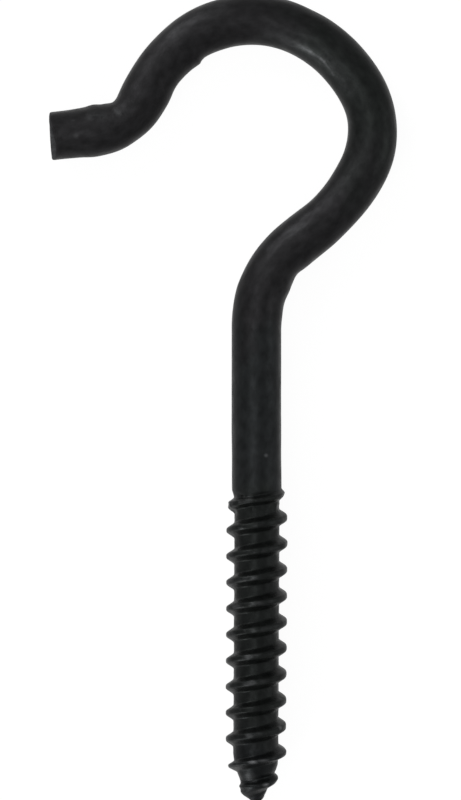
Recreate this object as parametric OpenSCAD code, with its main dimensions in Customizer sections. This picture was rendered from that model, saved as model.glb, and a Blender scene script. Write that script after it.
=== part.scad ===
// Screw hook, bent from one length of round rod: a gimlet-pointed wood thread, a plain
// shank, a neck bend that leads the rod out to one side, an open hook above the screw's
// axis, and a short tail that turns outwards at the mouth.
// Frame: the part lies flat, with the bends in the XY plane and +Z up. The screw's axis is
// the Y axis, pointing from the tip to the hook, and the origin is the shoulder where the
// thread meets the plain shank.

/* [Rod] */
// Diameter of the plain rod
rod_d = 4.9; // [4.5:0.1:5.8]
// Length of straight shank between the thread's shoulder and the neck bend
shank_len = 16.65; // [6:0.05:40]

/* [Neck bend] */
// Centreline radius of the bend that leads the rod out to the right
neck_r = 10.4; // [6:0.1:16]
// Angle that the neck bend turns
neck_angle = 51.5; // [40:0.5:60]
// Straight run between the neck bend and the hook
neck_run = 2.6; // [1:0.1:8]

/* [Hook] */
// Centreline radius where the rod starts to curl back
entry_r = 16.9; // [12:0.1:24]
// Angle that it turns there
entry_angle = 26.5; // [20:0.5:32]
// Centreline radius of the hook's right side
side_r = 8.6; // [7:0.1:11]
// Angle that the right side turns
side_angle = 55.5; // [50:0.5:60]
// Centreline radius of the flatter stretch at the upper right
upper_r = 14.2; // [11:0.1:17]
// Angle that the flatter stretch turns
upper_angle = 33.5; // [28:0.5:38]
// Centreline radius over the top and down the left side
top_r = 11; // [9:0.1:13]
// Angle that it turns there
top_angle = 85.5; // [80:0.5:90]

/* [Tail] */
// Straight run between the hook and the tail's bend
mouth_run = 3.7; // [1:0.1:6]
// Centreline radius of the bend that turns the tail outwards
tail_r = 4.9; // [4:0.1:7]
// Angle that the tail's bend turns
tail_angle = 52.5; // [40:0.5:65]
// Length of the straight tail, along its middle, to the cut end
tail_len = 5.2; // [2:0.1:10]
// Angle by which the sheared end is out of square
cut_angle = 2.5; // [0:0.5:10]

/* [Thread] */
// Diameter over the thread's crests
thread_d = 6; // [5.9:0.1:7]
// Diameter of the core between the ridges
core_d = 4.4; // [3.8:0.1:4.8]
// Distance from one ridge to the next
pitch = 2.6; // [2.2:0.1:3.4]
// Width of a ridge where it leaves the core
ridge_w = 1.5; // [1:0.1:1.8]
// Width of a ridge's worn crest
crest_w = 0.4; // [0.2:0.1:0.8]
// Length from the shoulder to the tip
thread_len = 31.5; // [20:0.5:60]
// Length of the tapered gimlet point, within that
point_len = 5.5; // [4:0.1:8]

/* [Hidden] */
$fn = 64;

// Each second stretch of rod is thinner by slim, and reaches by lap into the stretches
// before and after it, so that they fuse into one solid. So does the threaded end.
slim = 0.04;
lap = 0.15;

// Steps of the thread's mesh in one turn
turn_steps = 32;
// Length of the chamfer from rod to core, half of it on each side of the origin
shoulder_len = 0.8;
// Height of a ridge above the origin where it faces -X
ridge_y = 1.37;
// The ridge loses its height over this length, and ends at this height
fade_len = 1.2;
fade_y = 1;
// How far up the shank the mesh of the threaded end reaches before the plain rod starts
root_y = 1.8;
// How full the point is (1 is a straight cone), and how slowly its ridge fades
fullness = 1.7;
point_fade = 0.35;

core_r = core_d / 2;
tip_y = -thread_len;
point_y = tip_y + point_len;
top_y = root_y + lap;
ridge_h = thread_d / 2 - core_r;

// Places along the axis from a ridge's middle, from top to bottom, each with the share of
// the ridge's height that is reached there
profile = [
    [pitch / 2, 0],
    [ridge_w / 2, 0],
    [(ridge_w + crest_w) / 4, 0.4],
    [crest_w / 2, 1],
    [-crest_w / 2, 1],
    [-(ridge_w + crest_w) / 4, 0.4],
    [-ridge_w / 2, 0],
];
strands = len(profile);
first_y = ridge_y + pitch;
turns = ceil((first_y + pitch / 2 - tip_y) / pitch);

// ---- The bent rod ----
// Each stretch starts at its own origin, heading along +Y, and its children start where
// it ends.
module run(length, thin = false) {
    over = thin ? lap : 0;
    translate([0, -over, 0])
        rotate([-90, 0, 0]) cylinder(d = rod_d - (thin ? slim : 0), h = length + 2 * over);
    translate([0, length, 0]) children();
}

// A positive turn curls the rod to the left, and a negative one to the right
module bend(radius, turn, thin = false) {
    centre = turn > 0 ? -radius : radius;
    over = thin ? lap / radius * 180 / PI : 0;
    translate([centre, 0, 0]) {
        rotate([0, 0, (turn > 0 ? 0 : 180 + turn) - over])
            rotate_extrude(angle = abs(turn) + 2 * over)
                translate([radius, 0]) circle(d = rod_d - (thin ? slim : 0));
        rotate([0, 0, turn]) translate([-centre, 0, 0]) children();
    }
}

// The tail, sheared off a little out of square
module tail() {
    difference() {
        run(tail_len + rod_d, thin = true);
        translate([0, tail_len, 0])
            rotate([0, 0, -cut_angle])
                translate([-rod_d, 0, -rod_d]) cube(2 * rod_d);
    }
}

module bent_rod() {
    translate([0, root_y, 0])
    run(shank_len - root_y)
    bend(neck_r, -neck_angle, thin = true)
    run(neck_run)
    bend(entry_r, entry_angle, thin = true)
    bend(side_r, side_angle)
    bend(upper_r, upper_angle, thin = true)
    bend(top_r, top_angle)
    run(mouth_run, thin = true)
    bend(tail_r, -tail_angle)
    tail();
}

// ---- The threaded end ----
// Radius of the body under the ridges: shoulder, core and point
function body_r(y) =
    y > point_y
        ? core_r + ((rod_d - slim) / 2 - core_r)
            * max(0, min(1, y / shoulder_len + 1 / 2))
        : core_r * (1 - pow((point_y - y) / point_len, fullness));

// Height of a whole ridge above that body
function ridge_at(y) =
    y > point_y
        ? thread_d / 2 - body_r(y)
        : ridge_h * pow((y - tip_y) / point_len, point_fade);

// A point on strand k of the profile, after this many steps down the helix. Points that
// would lie above the top or below the tip stay on it.
function thread_point(step, k) =
    let (
        middle_y = first_y - pitch * step / turn_steps,
        y = max(tip_y, min(top_y, middle_y + profile[k][0])),
        fade = max(0, min(1, (fade_y - middle_y) / fade_len)),
        r = body_r(y) + ridge_at(y) * profile[k][1] * fade,
        angle = 360 * (step % turn_steps) / turn_steps
    )
    [-r * cos(angle), y, -r * sin(angle)];

// Strand k follows on strand k - 1, and the next turn's first strand follows the last
function thread_index(step, k) =
    k < strands ? step * strands + k : (step + turn_steps) * strands;

module threaded_end() {
    steps = turns * turn_steps;
    points = [
        for (step = [0:steps + turn_steps], k = [0:strands - 1]) thread_point(step, k)
    ];
    corners = [
        for (step = [0:steps - 1], k = [0:strands - 1])
            let (
                a = thread_index(step, k),
                b = thread_index(step + 1, k),
                c = thread_index(step + 1, k + 1),
                d = thread_index(step, k + 1)
            )
            each [[a, c, b], [a, d, c]]
    ];
    sides = [
        for (t = corners)
            if (points[t[0]] != points[t[1]]
                && points[t[1]] != points[t[2]]
                && points[t[2]] != points[t[0]]) t
    ];
    top = [for (step = [0:turn_steps - 1]) thread_index(step, 0)];
    polyhedron(points, concat(sides, [top]), convexity = 10);
}

module screw_hook() {
    color("#232627") {
        bent_rod();
        threaded_end();
    }
}

screw_hook();
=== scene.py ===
"""The looks of the screw hook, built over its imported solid.

One skin stands for the solid: a tube of rings from the gimlet tip to the sheared end of the
tail. Its radius holds the thread, and the flats, creases and nicks that bending left behind.
The script's own lengths are in millimetres, and the finished mesh is in metres.
A place is a distance along the rod's middle, upwards from the shoulder where the thread ends,
so the thread's places are negative. A side is a direction round the rod, in degrees: 0 is to
the left of the way the rod runs, 90 is up from the floor, 180 is to the right, 270 is down.
"""

import math

import bpy
import numpy as np
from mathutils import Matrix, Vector, noise


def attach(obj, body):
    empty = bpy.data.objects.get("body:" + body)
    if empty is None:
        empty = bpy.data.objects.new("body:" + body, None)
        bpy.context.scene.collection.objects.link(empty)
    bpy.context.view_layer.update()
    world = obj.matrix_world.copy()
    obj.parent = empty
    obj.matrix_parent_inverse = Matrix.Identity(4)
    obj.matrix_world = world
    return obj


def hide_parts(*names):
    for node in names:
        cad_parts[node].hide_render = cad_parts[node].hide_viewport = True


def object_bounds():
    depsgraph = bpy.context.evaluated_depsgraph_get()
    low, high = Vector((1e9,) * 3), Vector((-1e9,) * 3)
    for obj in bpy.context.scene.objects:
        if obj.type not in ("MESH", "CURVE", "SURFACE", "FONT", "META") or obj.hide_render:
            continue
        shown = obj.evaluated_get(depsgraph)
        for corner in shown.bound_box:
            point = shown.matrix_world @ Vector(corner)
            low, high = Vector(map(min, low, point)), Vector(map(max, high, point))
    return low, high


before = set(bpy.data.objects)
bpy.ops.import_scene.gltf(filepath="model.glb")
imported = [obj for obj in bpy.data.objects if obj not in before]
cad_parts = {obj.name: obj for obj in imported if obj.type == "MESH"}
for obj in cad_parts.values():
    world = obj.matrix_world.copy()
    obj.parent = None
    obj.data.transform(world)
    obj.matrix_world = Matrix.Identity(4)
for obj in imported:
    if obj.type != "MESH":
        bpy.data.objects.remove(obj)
cad_low, cad_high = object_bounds()

MM = 0.001

# ---- Sizes before wear: a hair over the solid's, because marks and wear take some away ----
ROD_R = 2.48
CORE_R = 2.25
CREST_R = 3.12
PITCH = 2.6
POINT_LEN = 5.5
TIP = cad_low.y / MM
POINT = TIP + POINT_LEN
# The chamfer from rod to core: its middle, and its length
SHOULDER = -0.15
SHOULDER_LEN = 0.8
# Place of the ridge's upper end, where it faces side 0
RIDGE = 1.37
# Place from which the ridge rises downwards, and the length over which it grows whole
FADE_FROM = 1.0
FADE_LEN = 1.9
# How full the point is (1 is a straight cone), and how slowly its ridge fades
FULLNESS = 1.7
POINT_FADE = 0.35


def arc(radius, turn):
    """A bend's length, and the degrees that it turns to the left."""
    return radius * math.radians(abs(turn)), turn


# The rod above the shoulder: each stretch's length, and the degrees that it turns to the left
ROUTE = [
    (16.65, 0),
    arc(10.4, -51.5),
    (2.6, 0),
    arc(16.9, 26.5),
    arc(8.6, 55.5),
    arc(14.2, 33.5),
    arc(11.0, 85.5),
    (3.7, 0),
    arc(4.9, -52.5),
    (5.2, 0),
]
END = sum(length for length, turn in ROUTE)
# Real bends begin and end gradually, over this length
EASE = 1.6
# The threaded end isn't dead straight: places, and how far its middle is off the axis
SWAY = [(-31.5, -0.1), (-14, 0), (-3, 0.06), (1, 0.03), (6, 0)]

# ---- The thread's ridge ----
# Half the ridge's flat crest where it faces side 0 and side 180
CREST_HALF = (0.05, 0.1)
# Width of a flank, half the width of the hollow foot, and the foot's share of the height
FLANK = 0.78
FOOT = 1.1
FOOT_SHARE = 0.08
# Rounding between a flank and a worn crest
WORN_EDGE = 0.15
# Turns of the thread below the ridge's upper end, and material worn off the crest there
WEAR = [
    (0, 0.0),
    (0.5, 0.0),
    (1, 0.25),
    (1.5, 0.1),
    (2, 0.04),
    (9, 0.07),
    (10, 0.12),
    (10.7, 0),
    (11.7, 0),
    (12, 0.35),
]
# Turns below the ridge's upper end, and how far the ridge sinks below its even helix
SINK = [
    (0, 0.5),
    (0.5, 0.28),
    (1, 0.1),
    (1.4, 0),
    (10.5, 0.05),
    (11, 0.2),
    (11.5, 0.28),
    (12, 0.1),
]
# Turns below the ridge's upper end, and the share of its width that the ridge has
THIN = [
    (0.5, 0.7),
    (0.8, 0.62),
    (1, 1),
    (10.2, 1),
    (10.7, 0.75),
    (11.3, 0.75),
    (12, 1.1),
]

# ---- Marks of rolling, bending and handling ----
# Dents and bumps: place, reach before it, reach after it, side, reach round the rod in
# degrees, and how far the surface moves out there
DENTS = [
    # The rolled point is crooked, and its last turn stands out on the right
    (-29.3, 0.3, 0.4, 0, 50, 0.12),
    (-28.85, 0.35, 0.5, 75, 55, -0.2),
    (-27.4, 1.0, 0.7, 180, 50, 0.12),
    (-30.3, 0.6, 0.8, 180, 50, 0.13),
    (-30.05, 0.55, 0.38, 0, 45, 0.33),
    (-27.3, 0.4, 0.4, 0, 40, -0.04),
    (-28.5, 0.4, 0.4, 130, 30, -0.2),
    # Torn metal fills the hollow above the thread's first turn, left of the middle
    (-0.4, 0.3, 0.5, 68, 18, 0.25),
    (-0.45, 0.15, 0.15, 53, 5, -0.12),
    (-1.2, 0.15, 0.15, 74, 10, -0.12),
    # Metal pushed up at the foot of the neck, and the crease on the neck's right side
    (17.8, 1.0, 1.0, 180, 50, 0.05),
    (19.8, 1.0, 1.0, 0, 50, 0.05),
    (21.2, 0.8, 0.7, 180, 40, 0.06),
    (23.7, 1.2, 1.0, 180, 55, -0.2),
    # The rod is drawn thin where the hook starts, and over the upper right
    (31.0, 2.4, 3.6, 0, 80, -0.1),
    (30.6, 1.6, 2.4, 180, 80, -0.1),
    (37.5, 3.0, 3.0, 180, 70, 0.08),
    (37.5, 3.0, 3.0, 0, 70, -0.04),
    (42.0, 2.5, 2.0, 0, 70, -0.1),
    (51.0, 5.0, 3.5, 0, 70, -0.07),
    (53.0, 1.2, 1.2, 180, 60, -0.06),
    # Flats on the upper part of the hook's inner side
    (38.2, 2.3, 2.2, 42, 22, -0.07),
    (60.3, 4.5, 4.5, 40, 22, -0.07),
    (68.6, 2.4, 2.4, 36, 22, -0.06),
    # Nick on the inner side at the upper left: a step, with metal raised past it
    (64.2, 2.0, 0.7, 0, 70, -0.12),
    (65.35, 0.3, 1.1, 0, 38, 0.12),
    # Flats left by the tool that turned the mouth
    (69.7, 1.8, 1.1, 0, 60, -0.18),
    (66.8, 2.8, 2.6, 180, 60, -0.14),
    # Sharp inner corner and flattened outer side of the tail's bend
    (74.8, 2.0, 1.15, 180, 55, -0.31),
    (75.2, 1.6, 1.2, 0, 70, -0.17),
    # Metal gathered past the corner, and the thinner stub
    (78.25, 0.85, 0.65, 180, 60, 0.14),
    (78.7, 1.1, 1.1, 0, 60, 0.12),
    (81.4, 2.0, 3.0, 180, 80, -0.12),
    (82.2, 1.4, 3.0, 0, 80, -0.06),
]
# The cut at the tail: its slope towards the left, how far its middle is set back, and the
# length of the stretch behind it that follows the slope
CUT_SLOPE = 0.07
CUT_BACK = 0.037
CUT_LEN = 1.5
# The shear rounded off the cut's upper edge: how far back and how far down it reaches, and
# where it begins and is whole, as distances to the left
LIP = 0.42
LIP_DEPTH = 0.9
LIP_FROM = -1.5
LIP_WHOLE = 0.9
# Lumps of the surface: height, size and seed. On the plain rod they are longer than wide.
ROD_LUMPS = (0.022, 1.2, 1)
ROD_STRETCH = (0.4, 1, 1)
THREAD_LUMPS = (0.03, 0.9, 2)
THREAD_GRAIN = (0.015, 0.35, 3)
# The thread's lumps start here, and grow whole over this length
ROLLED_FROM = 0.8
ROLLED_LEN = 1.2
# The first turn is torn: where it is roughest, how far that reaches, and how much rougher
TORN = -1.4
TORN_REACH = 0.9
TORN_EXTRA = 2.5

# ---- Mesh ----
SIDES = 96
# Where each stretch of rings starts, and the distance between its rings. They stand closer
# on the thread, round the nick and on the tail.
RING_STRETCHES = [(TIP + 0.06, 0.07), (2, 0.25), (62, 0.12), (68, 0.2)]
# The rounded rim of the cut, and the rings on the rim and on the cut face
RIM = 0.2
RIM_RINGS = 3
CAP_RINGS = 17
# Step along the rod's middle in which its bends are added up
STEP = 0.05
# How far apart the noises of two seeds lie
SEED_OFFSET = (17.3, 5.9, 11.1)


def smooth(t):
    """0 below 0, 1 above 1, and an S-curve between them."""
    t = np.clip(t, 0, 1)
    return t * t * (3 - 2 * t)


def smooth_min(a, b, width):
    """The smaller of two heights, rounded where they cross."""
    share = np.clip(0.5 + (b - a) / (2 * width), 0, 1)
    return b + (a - b) * share - width * share * (1 - share)


def read_off(table, where):
    """Amounts read off a table of (where, amount), straight between its rows."""
    return np.interp(where, *zip(*table))


def lumps(points, height, size, seed):
    """Smooth noise up to about this height at each point, with features of this size."""
    offset = Vector([seed * part for part in SEED_OFFSET])
    flat = points.reshape(-1, 3) / size
    values = [noise.noise(Vector(p) + offset) for p in flat]
    return height * np.array(values).reshape(points.shape[:-1])


def centreline():
    """Places along the rod, with the middle's x and y and the way the rod runs at each."""
    turns = [np.zeros(round(-TIP / STEP))]
    for length, turn in ROUTE:
        count = round(length / STEP)
        turns.append(np.full(count, math.radians(turn) / count))
    ease = round(EASE / STEP)
    turns = np.convolve(np.concatenate(turns), np.full(ease, 1 / ease), "same")
    heading = math.pi / 2 + np.concatenate([[0], np.cumsum(turns)])
    between = (heading[1:] + heading[:-1]) / 2
    x = np.concatenate([[0], np.cumsum(np.cos(between))]) * STEP
    y = np.concatenate([[0], np.cumsum(np.sin(between))]) * STEP + TIP
    places = TIP + STEP * np.arange(len(heading))
    return places, x + read_off(SWAY, places), y, heading


def body_radius(place):
    """Radius of the rod, the shoulder, the core and the point, under the ridge."""
    shoulder = CORE_R + (ROD_R - CORE_R) * smooth((place - SHOULDER) / SHOULDER_LEN + 0.5)
    below = np.clip((POINT - place) / POINT_LEN, 0, 1)
    return shoulder - CORE_R * below ** FULLNESS


def ridge(place, side):
    """Height of the ridge over the body, and the share of a whole ridge that stands there."""
    turn = (place - RIDGE) / PITCH - side / 360
    below = -np.round(turn) - side / 360
    turn = turn + read_off(SINK, below) / PITCH
    from_crest = np.abs(turn - np.round(turn)) * PITCH / read_off(THIN, below)
    narrow, wide = CREST_HALF
    flat = narrow + (wide - narrow) * (1 - np.cos(np.radians(side))) / 2
    steep = smooth((flat + FLANK - from_crest) / FLANK)
    profile = steep + FOOT_SHARE * (smooth(1 - from_crest / FOOT) - steep)
    crest_place = RIDGE - below * PITCH
    fade = smooth((FADE_FROM - crest_place) / FADE_LEN)
    taper = np.clip((place - TIP) / POINT_LEN, 0, 1) ** POINT_FADE
    whole = (CREST_R - CORE_R) * taper * fade
    worn = np.maximum(whole - read_off(WEAR, below), 0)
    height = smooth_min(whole * profile, worn, WORN_EDGE)
    return np.maximum(height, 0), profile * fade


def dents(place, side):
    """How far the marks move the surface out at a place and a side."""
    moved = np.zeros(np.broadcast(place, side).shape)
    for middle, before, after, facing, spread, amount in DENTS:
        along = (place - middle) / np.where(place < middle, before, after)
        around = ((side - facing + 180) % 360 - 180) / spread
        moved += amount * np.exp(-along ** 2 - around ** 2)
    return moved


def cut_end(left, up):
    """How far the sheared end stands out past its middle, at a point of the rod's section."""
    below_top = np.sqrt(np.maximum(ROD_R ** 2 - left ** 2, 0)) - up
    across = smooth((left - LIP_FROM) / (LIP_WHOLE - LIP_FROM))
    lip = LIP * across * np.clip(1 - below_top / LIP_DEPTH, 0, 1)
    return CUT_SLOPE * left - CUT_BACK - lip


def rod_places():
    """Places of the rings from the tip to the cut's rim."""
    starts, gaps = zip(*RING_STRETCHES)
    stops = starts[1:] + (END - RIM,)
    return np.concatenate([np.arange(*stretch) for stretch in zip(starts, stops, gaps)])


def section_rings(side):
    """Places of all rings, with the radius and the share of a whole ridge at each side."""
    rod = rod_places()
    quarter = np.linspace(0, np.pi / 2, RIM_RINGS + 1)[1:]
    rim = END - RIM + RIM * np.sin(quarter)
    cap = np.linspace(1, 0, CAP_RINGS + 2)[1:-1]
    place = np.concatenate([rod, rim, np.full(CAP_RINGS, END)])[:, None]
    height, share = ridge(place, side)
    radius = body_radius(place) + height + dents(place, side)
    rod_end = radius[len(rod) - 1]
    radius[len(rod):-CAP_RINGS] = rod_end - RIM * (1 - np.cos(quarter))[:, None]
    radius[-CAP_RINGS:] = (rod_end - RIM) * cap[:, None]
    return place, radius, share


def roughen(place, radius, unrolled):
    """The radius with its lumps: faint on the plain rod, and rougher on the rolled thread."""
    rolled = smooth((ROLLED_FROM - place) / ROLLED_LEN)
    radius = radius + lumps(unrolled * ROD_STRETCH, *ROD_LUMPS) * (1 - rolled)
    rough = rolled * (1 + TORN_EXTRA * np.exp(-((place - TORN) / TORN_REACH) ** 2))
    return radius + rough * (lumps(unrolled, *THREAD_LUMPS) + lumps(unrolled, *THREAD_GRAIN))


def bend(place, left, up):
    """Positions on the bent rod of points at a place, this far left of and above its middle."""
    places, xs, ys, headings = centreline()
    follows = smooth((place - END + CUT_LEN) / CUT_LEN)
    along = place + follows * cut_end(left, up)
    heading = np.interp(along, places, headings)
    past = along - np.minimum(along, END)
    x = np.interp(along, places, xs) + past * np.cos(heading) - left * np.sin(heading)
    y = np.interp(along, places, ys) + past * np.sin(heading) + left * np.cos(heading)
    return np.stack([x, y, up], axis=-1)


def skin():
    """Vertices of the skin's rings, their unrolled positions, and their shares of a ridge."""
    side = np.degrees(np.arange(SIDES) * 2 * np.pi / SIDES)[None, :]
    cosine, sine = np.cos(np.radians(side)), np.sin(np.radians(side))
    place, radius, share = section_rings(side)
    flat_place = np.broadcast_to(place, radius.shape)
    unrolled = np.stack([flat_place, radius * cosine, radius * sine], axis=-1)
    radius = roughen(place, radius, unrolled)
    return bend(place, radius * cosine, radius * sine), unrolled, share


def skin_mesh():
    """The closed mesh: the rings, a point on the tip and a point in the middle of the cut."""
    rings, unrolled, share = skin()
    tip = [rings[0, :, 0].mean(), TIP, 0]
    vertices = np.concatenate([rings.reshape(-1, 3), [tip, rings[-1].mean(axis=0)]]) * MM
    tip_index = len(rings) * SIDES
    last = tip_index - SIDES
    faces = []
    for low in range(0, last, SIDES):
        high = low + SIDES
        for side in range(SIDES):
            after = (side + 1) % SIDES
            faces.append((low + side, low + after, high + after, high + side))
    for side in range(SIDES):
        after = (side + 1) % SIDES
        faces.append((tip_index, after, side))
        faces.append((tip_index + 1, last + side, last + after))
    mesh = bpy.data.meshes.new("hook_skin")
    mesh.from_pydata(vertices.tolist(), [], faces)
    mesh.polygons.foreach_set("use_smooth", [True] * len(mesh.polygons))
    positions = np.concatenate([unrolled.reshape(-1, 3), [[TIP, 0, 0], [END, 0, 0]]])
    attribute = mesh.attributes.new("unrolled", "FLOAT_VECTOR", "POINT")
    attribute.data.foreach_set("vector", positions.astype(np.float32).ravel())
    attribute = mesh.attributes.new("crest", "FLOAT", "POINT")
    attribute.data.foreach_set("value", np.append(share.ravel(), [0, 0]).astype(np.float32))
    return mesh


# ---- Shader nodes ----
class Nodes:
    """Adds shader nodes to a material or a world. An input takes a value or an output."""

    # Share of a mark's reach over which it has its full strength
    PLATEAU = 0.1

    def __init__(self, owner):
        owner.use_nodes = True
        self.tree = owner.node_tree
        self.tree.nodes.clear()

    def add(self, kind, inputs, **settings):
        """A node with these inputs, by name or number, and with these settings."""
        made = self.tree.nodes.new("ShaderNode" + kind)
        for key, value in settings.items():
            setattr(made, key, value)
        for key, value in inputs.items():
            if isinstance(value, bpy.types.NodeSocket):
                self.tree.links.new(value, made.inputs[key])
            else:
                made.inputs[key].default_value = value
        return made

    def maths(self, operation, first, second):
        """A number from two numbers."""
        return self.add("Math", {0: first, 1: second}, operation=operation).outputs[0]

    def largest(self, *values):
        """The largest of some numbers."""
        result = values[0]
        for value in values[1:]:
            result = self.maths("MAXIMUM", result, value)
        return result

    def rescale(self, value, old, new):
        """A number moved from one range to another, and kept inside the new range."""
        inputs = {0: value, 1: old[0], 2: old[1], 3: new[0], 4: new[1]}
        return self.add("MapRange", inputs, clamp=True).outputs[0]

    def vector(self, operation, first, second):
        """A vector from two vectors, or from a vector and a number where it is scaled."""
        key = "Scale" if operation == "SCALE" else 1
        return self.add("VectorMath", {0: first, key: second}, operation=operation).outputs[0]

    def noise(self, vector, stretch, scale, detail):
        """Noise from 0 to 1, with the vector first multiplied by stretch."""
        stretched = self.vector("MULTIPLY", vector, stretch)
        inputs = {"Vector": stretched, "Scale": scale, "Detail": detail}
        return self.add("TexNoise", inputs).outputs["Fac"]

    def pattern(self, vector, stretch, scale, detail, part, levels):
        """Noise of which this part is spread over these levels."""
        return self.rescale(self.noise(vector, stretch, scale, detail), part, levels)

    def ramp(self, value, stops):
        """A colour ramp through (position, colour) stops."""
        made = self.add("ValToRGB", {"Fac": value})
        points = made.color_ramp.elements
        points[0].position, points[1].position = stops[0][0], stops[-1][0]
        for position, colour in stops[1:-1]:
            points.new(position)
        for point, (position, colour) in zip(points, stops):
            point.color = (*colour, 1)
        return made.outputs["Color"]

    def mix(self, share, first, second):
        """A colour between two colours, of which the second has this share."""
        # The node takes colours through its inputs 6 and 7
        made = self.add("Mix", {0: share, 6: first, 7: second}, data_type="RGBA")
        return made.outputs[2]

    def fall(self, offset, reach):
        """1 where an offset is short, falling to 0 where it is as long as the reach."""
        length = self.add("VectorMath", {0: offset}, operation="LENGTH").outputs["Value"]
        return self.rescale(length, (self.PLATEAU * reach, reach), (1.0, 0.0))

    def spot(self, surface, place, side, radius, long, wide):
        """1 in the middle of a patch of the rod's surface, falling to 0 at its edge."""
        offset = self.vector("SUBTRACT", surface, on_rod(place, side, radius))
        return self.fall(self.vector("MULTIPLY", offset, (wide / long, 1, 1)), wide)

    def stroke(self, surface, start, end, reach):
        """1 along a line on the rod's surface, falling to 0 beside it."""
        line = on_rod(*end) - on_rod(*start)
        offset = self.vector("SUBTRACT", surface, on_rod(*start))
        along = self.add("VectorMath", {0: offset, 1: line}, operation="DOT_PRODUCT")
        share = self.rescale(along.outputs["Value"], (0.0, line.length_squared), (0.0, 1.0))
        nearest = self.vector("SCALE", line, share)
        return self.fall(self.vector("SUBTRACT", offset, nearest), reach)

    def seen(self):
        """1 for rays that show a surface, in the view or in a reflection, and 0 for light."""
        rays = self.add("LightPath", {}).outputs
        return self.largest(
            rays["Is Camera Ray"], rays["Is Glossy Ray"], rays["Is Transmission Ray"])


def on_rod(place, side, radius=ROD_R):
    """The unrolled position of a place and a side, this far from the rod's middle."""
    turn = math.radians(side)
    return Vector((place, radius * math.cos(turn), radius * math.sin(turn)))


# ---- Black finish ----
METALLIC = 0.75
SPECULAR = 0.135
EDGE_TINT = (0.9, 0.9, 0.9, 1)
# Patterns of noise: stretch, scale and detail, the part of the noise that is used, and the
# levels that it is spread over
MOTTLE = ((0.7, 1, 1), 1.3, 6.0, (0.3, 0.7), (0.7, 1.32))
ROUGHNESS = ((0.6, 1, 1), 1.6, 5.0, (0.3, 0.7), (0.37, 0.53))
SCUFF_STREAKS = ((0.6, 1, 1), 3.0, 4.0, (0.35, 0.6), (0.35, 1.0))
SHEAR_GROOVES = ((1, 2.5, 0.6), 1.4, 4.0, (0.35, 0.65), (0.5, 1.0))
RUBBED_PATCHES = ((1, 1, 1), 0.8, 3.0, (0.5, 0.66), (0.0, 0.7))
# How far the edges of the colour's casts wander along the rod, as a pattern
CAST_DRIFT = ((0.5, 1, 1), 0.5, 2.0, (0.3, 0.7), (-3.0, 3.0))
# Layers of unevenness: stretch, scale and detail of the noise, and its height
BUMPS = [
    # Broad lumps
    ((0.6, 1, 1), 1.6, 3.0, 0.018),
    # Marks drawn along the rod
    ((0.12, 1, 1), 5.0, 4.0, 0.003),
    # Fine grain
    ((1, 1, 1), 7.0, 4.0, 0.005),
]
# What the finish returns in red, green and blue. It drifts along the rod between these places.
GREEN_CAST = (0.0097, 0.0109, 0.0105)
BLUE_CAST = (0.0099, 0.0109, 0.0114)
VIOLET_CAST = (0.0111, 0.0109, 0.0116)
CASTS = [
    (-28.0, BLUE_CAST),
    (-22.0, GREEN_CAST),
    (-2.0, GREEN_CAST),
    (2.0, BLUE_CAST),
    (14.5, BLUE_CAST),
    (18.0, VIOLET_CAST),
    (31.0, VIOLET_CAST),
    (41.0, GREEN_CAST),
    (49.0, GREEN_CAST),
    (57.0, VIOLET_CAST),
]
# The thread's level beside the plain rod's, and the places between which it changes
THREAD_LEVEL = 0.8
THREAD_TOP = (-0.7, 0.1)
# Bare metal under the finish, which also paints the sheen, glints and highlights, and its share
# where a mark has a strength of 1. A strength of 2 or more shows it whole in the mark's middle.
BARE_STEEL_AND_SHEEN = (0.075, 0.077, 0.08, 1)
BARE_AND_SHEEN_SHARE = 0.5
# The cut face: places between which it turns bare, and between which it grows rougher, and
# the roughness that it adds
CUT_BARE = (END - 0.18, END - 0.04)
CUT_ROUGH = (END - RIM, END - 0.02)
CUT_ROUGHNESS = 0.4
# Rubbed crests, with painted glints: shares of a whole ridge between which the paling sets in,
# distances to the left between which it grows whole, and its share on the right. The bias to
# the lit left is painted highlight.
RUBBED_TOP = (0.85, 1.0)
GLINT_LEFT = (-0.8, 0.6)
GLINT_RIGHT = 0.3
# Scuffs and painted sheen: place and side of each end, reach to each side, and strength
SCUFFS_AND_SHEEN = [
    ((52.6, 52), (52.3, 54), 0.3, 0.35),
    ((51.8, 53), (50.9, 51), 0.45, 0.75),
    ((50.7, 51), (49.9, 55), 0.3, 0.6),
    ((49.6, 55), (49.1, 55), 0.3, 1.0),
    ((48.9, 54), (47.3, 48), 0.24, 0.55),
    # Painted sheen on the hook's inner side: broad pale stretches where the softboxes'
    # highlights fall, with some real rubbing
    ((48.0, 52), (56.0, 52), 1.7, 0.14),
    ((44.8, 55), (49.5, 64), 1.0, 0.27),
    ((28.0, 52), (36.0, 52), 1.4, 0.08),
    ((26.2, 61), (27.5, 68), 0.8, 0.3),
    # Painted highlight on the outer side, at the upper left, where the left softboxes' sheen
    # falls
    ((61.0, 128), (65.5, 128), 1.4, 0.22),
    # Painted highlight where the tail's folded corner and the metal gathered past it catch the
    # light
    ((78.4, 124), (77.3, 118), 0.8, 0.38),
    ((75.5, 126), (75.3, 108), 0.5, 0.3),
]
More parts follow.
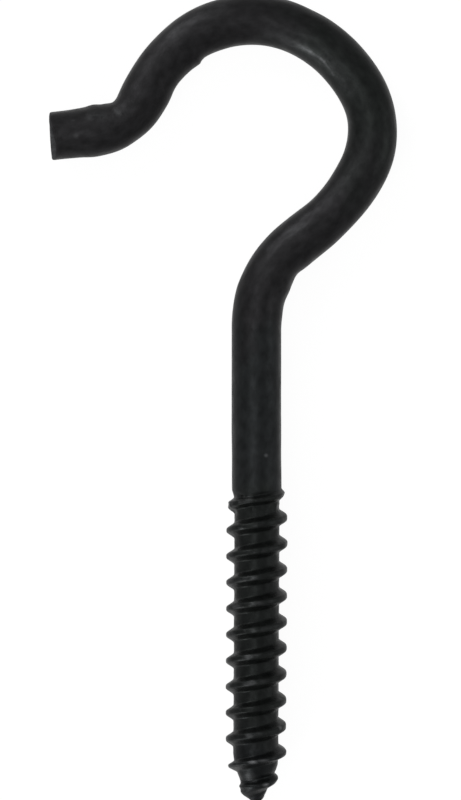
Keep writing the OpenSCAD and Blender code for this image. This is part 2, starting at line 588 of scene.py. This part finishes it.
# Pale speck marks, partly worn metal and partly painted glints: place, side, distance from the
# rod's middle, half length, half width, strength
SPECKS_AND_GLINTS = [
    (3.7, 112, ROD_R, 0.25, 0.3, 1.1),
    (80.3, 117, ROD_R, 0.3, 0.15, 0.35),
    (80.2, 78, ROD_R, 0.35, 0.35, 0.3),
    # On the thread's crests, on its first turn and on the point: painted glints and highlights,
    # with some worn metal on the crests
    (-0.6, 74, 2.8, 0.5, 0.6, 0.5),
    (-16.3, 73, 3.0, 0.35, 0.45, 1.0),
    (-18.7, 81, 3.0, 0.3, 0.5, 0.4),
    (-23.4, 145, 3.0, 0.3, 0.35, 1.9),
    (-26.7, 84, 2.9, 0.25, 0.6, 2.0),
    (-26.55, 105, 2.9, 0.2, 0.8, 1.2),
    (-28.35, 72, 1.6, 0.7, 0.9, 0.36),
    (-29.1, 122, 1.95, 0.25, 0.5, 1.9),
]


def finish_colour(nodes, surface, place):
    """The finish's own colour: a cast that drifts along the rod, and mottling."""
    drifted = nodes.maths("ADD", place, nodes.pattern(surface, *CAST_DRIFT))
    share = nodes.rescale(drifted, (TIP, END), (0.0, 1.0))
    cast = nodes.ramp(share, [((start - TIP) / (END - TIP), cast) for start, cast in CASTS])
    threaded = nodes.rescale(place, THREAD_TOP, (THREAD_LEVEL, 1.0))
    level = nodes.maths("MULTIPLY", nodes.pattern(surface, *MOTTLE), threaded)
    return nodes.vector("SCALE", cast, level)


def scuffs_and_sheen(nodes, surface):
    """Strength of the scuff strokes and of the painted sheen, broken into streaks."""
    marks = []
    for start, end, reach, strength in SCUFFS_AND_SHEEN:
        mark = nodes.stroke(surface, start, end, reach)
        marks.append(nodes.maths("MULTIPLY", mark, strength))
    streaks = nodes.pattern(surface, *SCUFF_STREAKS)
    return nodes.maths("MULTIPLY", nodes.largest(*marks), streaks)


def specks_and_glints(nodes, surface):
    """Strength of the pale speck marks and the painted glints."""
    marks = []
    for *where, strength in SPECKS_AND_GLINTS:
        marks.append(nodes.maths("MULTIPLY", nodes.spot(surface, *where), strength))
    return nodes.largest(*marks)


def sheared_face(nodes, surface, place):
    """Strength of the bare metal on the sheared face, grooved by the shear."""
    face = nodes.rescale(place, CUT_BARE, (0.0, 1.0))
    return nodes.maths("MULTIPLY", face, nodes.pattern(surface, *SHEAR_GROOVES))


def rubbed_and_glinting_crests(nodes, surface, crest, left):
    """Strength of the rubbing and painted glints in patches of the thread's crests, painted
    brighter on the lit left.
    """
    top = nodes.rescale(crest, RUBBED_TOP, (0.0, 1.0))
    top = nodes.maths("MULTIPLY", top, nodes.rescale(left, GLINT_LEFT, (GLINT_RIGHT, 1.0)))
    return nodes.maths("MULTIPLY", top, nodes.pattern(surface, *RUBBED_PATCHES))


def finish_roughness(nodes, surface, place):
    """Roughness of the finish, greater on the cut face."""
    face = nodes.rescale(place, CUT_ROUGH, (0.0, CUT_ROUGHNESS))
    return nodes.maths("ADD", nodes.pattern(surface, *ROUGHNESS), face)


def finish_bump(nodes, surface):
    """The surface's direction, with the finish's unevenness in it."""
    height = 0.0
    for *pattern, rise in BUMPS:
        layer = nodes.maths("MULTIPLY", nodes.noise(surface, *pattern), rise)
        height = nodes.maths("ADD", height, layer)
    bump = nodes.add("Bump", {"Height": height, "Strength": 1.0, "Distance": MM})
    return bump.outputs["Normal"]


def black_finish():
    """Blackened steel: mottled, drawn along the rod, paler where it is rubbed or cut, and with
    painted sheen and glints.
    """
    material = bpy.data.materials.new("black_finish")
    nodes = Nodes(material)
    surface = nodes.add("Attribute", {}, attribute_name="unrolled").outputs["Vector"]
    crest = nodes.add("Attribute", {}, attribute_name="crest").outputs["Fac"]
    position = nodes.add("SeparateXYZ", {"Vector": surface}).outputs
    place, left = position["X"], position["Y"]
    marks = nodes.largest(
        scuffs_and_sheen(nodes, surface),
        specks_and_glints(nodes, surface),
        sheared_face(nodes, surface, place),
        rubbed_and_glinting_crests(nodes, surface, crest, left),
    )
    # The pale share is bare metal where rubbed or cut, and painted sheen, glints and highlights
    # where the lamps' light falls
    bare = nodes.maths("MULTIPLY", marks, BARE_AND_SHEEN_SHARE)
    shader = nodes.add("BsdfPrincipled", {
        "Base Color": nodes.mix(bare, finish_colour(nodes, surface, place), BARE_STEEL_AND_SHEEN),
        "Metallic": METALLIC,
        "Specular IOR Level": SPECULAR,
        "Specular Tint": EDGE_TINT,
        "Roughness": finish_roughness(nodes, surface, place),
        "Normal": finish_bump(nodes, surface),
    })
    nodes.add("OutputMaterial", {"Surface": shader.outputs[0]})
    return material


# ---- Floor, light and camera ----
# Half the floor's width, and its distance below the solid's lowest point
FLOOR_HALF = 2000
FLOOR_BELOW = 0.05
# What the paper returns as light, how bright it is shown, and the share of that which keeps
# the part's shadow off
PAPER = (0.85, 0.85, 0.85, 1)
WHITE = (1, 1, 1, 1)
SHOWN_STRENGTH = 1.02
SHOWN_SHARE = 0.94
# Light from the surroundings, of which 1 is white
WORLD_LIGHT = 0.28
# Softboxes: name, azimuth (0 is +X and 90 is +Y), elevation, width, height and power. The
# sizes and the distance are in metres.
SOFTBOX_DISTANCE = 0.7
SOFTBOXES = [
    ("left_back_softbox", 127, 30, 0.19, 0.62, 3.0),
    ("left_front_softbox", 234, 17, 0.18, 0.42, 3.3),
    ("right_softbox", 358, 26, 0.35, 0.45, 0.92),
    ("overhead_softbox", 197, 77, 0.53, 0.28, 1.45),
]
# What the view cuts off the hook's top and the tip, and how far right its middle is
CUT_OFF_TOP = 0.4
CUT_OFF_TIP = 0.7
VIEW_RIGHT = 0.8
LENS = 150


def paper_material():
    """White paper: shown white, with a little of the part's shadow kept."""
    material = bpy.data.materials.new("white_paper")
    nodes = Nodes(material)
    paper = nodes.add("BsdfDiffuse", {"Color": PAPER}).outputs[0]
    lit = nodes.add("BsdfDiffuse", {"Color": WHITE}).outputs[0]
    white = nodes.add("Emission", {"Color": WHITE, "Strength": SHOWN_STRENGTH}).outputs[0]
    shown = nodes.add("MixShader", {0: SHOWN_SHARE, 1: lit, 2: white}).outputs[0]
    surface = nodes.add("MixShader", {0: nodes.seen(), 1: paper, 2: shown}).outputs[0]
    nodes.add("OutputMaterial", {"Surface": surface})
    return material


def make_floor():
    """A plain white floor that the thread's crests just touch."""
    half = FLOOR_HALF * MM
    height = cad_low.z - FLOOR_BELOW * MM
    corners = [(x * half, y * half, height) for x, y in ((-1, -1), (1, -1), (1, 1), (-1, 1))]
    mesh = bpy.data.meshes.new("floor")
    mesh.from_pydata(corners, [], [(0, 1, 2, 3)])
    mesh.materials.append(paper_material())
    floor = bpy.data.objects.new("floor", mesh)
    bpy.context.scene.collection.objects.link(floor)


def make_world():
    """Even white surroundings: dim as light, white where they are seen."""
    world = bpy.data.worlds.new("surroundings")
    nodes = Nodes(world)
    strength = nodes.rescale(nodes.seen(), (0.0, 1.0), (WORLD_LIGHT, 1.0))
    background = nodes.add("Background", {"Strength": strength}).outputs[0]
    nodes.add("OutputWorld", {"Surface": background})
    bpy.context.scene.world = world


def make_softbox(name, azimuth, elevation, width, height, power):
    """A softbox aimed at the middle of the part."""
    around, above = math.radians(azimuth), math.radians(elevation)
    away = Vector((
        math.cos(above) * math.cos(around),
        math.cos(above) * math.sin(around),
        math.sin(above),
    ))
    light = bpy.data.lights.new(name, "AREA")
    light.shape = "RECTANGLE"
    light.size = width
    light.size_y = height
    light.energy = power
    lamp = bpy.data.objects.new(name, light)
    lamp.location = (cad_low + cad_high) / 2 + away * SOFTBOX_DISTANCE
    lamp.rotation_euler = away.to_track_quat("Z", "Y").to_euler()
    bpy.context.scene.collection.objects.link(lamp)


def make_camera():
    """Straight down on the hook's flat side. The view cuts a little off its top and its tip."""
    top = cad_high.y - CUT_OFF_TOP * MM
    bottom = cad_low.y + CUT_OFF_TIP * MM
    middle = (cad_low.x + cad_high.x) / 2 + VIEW_RIGHT * MM
    data = bpy.data.cameras.new("camera")
    data.lens = LENS
    distance = (top - bottom) / data.sensor_width * data.lens
    data.clip_start = distance / 10
    camera = bpy.data.objects.new("camera", data)
    camera.location = (middle, (top + bottom) / 2, distance)
    bpy.context.scene.collection.objects.link(camera)
    bpy.context.scene.camera = camera


make_camera()
make_floor()
make_world()
for softbox in SOFTBOXES:
    make_softbox(*softbox)
bpy.context.scene.view_settings.view_transform = "Standard"

hook = bpy.data.objects.new("hook_skin", skin_mesh())
bpy.context.scene.collection.objects.link(hook)
hook.data.materials.append(black_finish())
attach(hook, "root")
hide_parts("screw_hook")
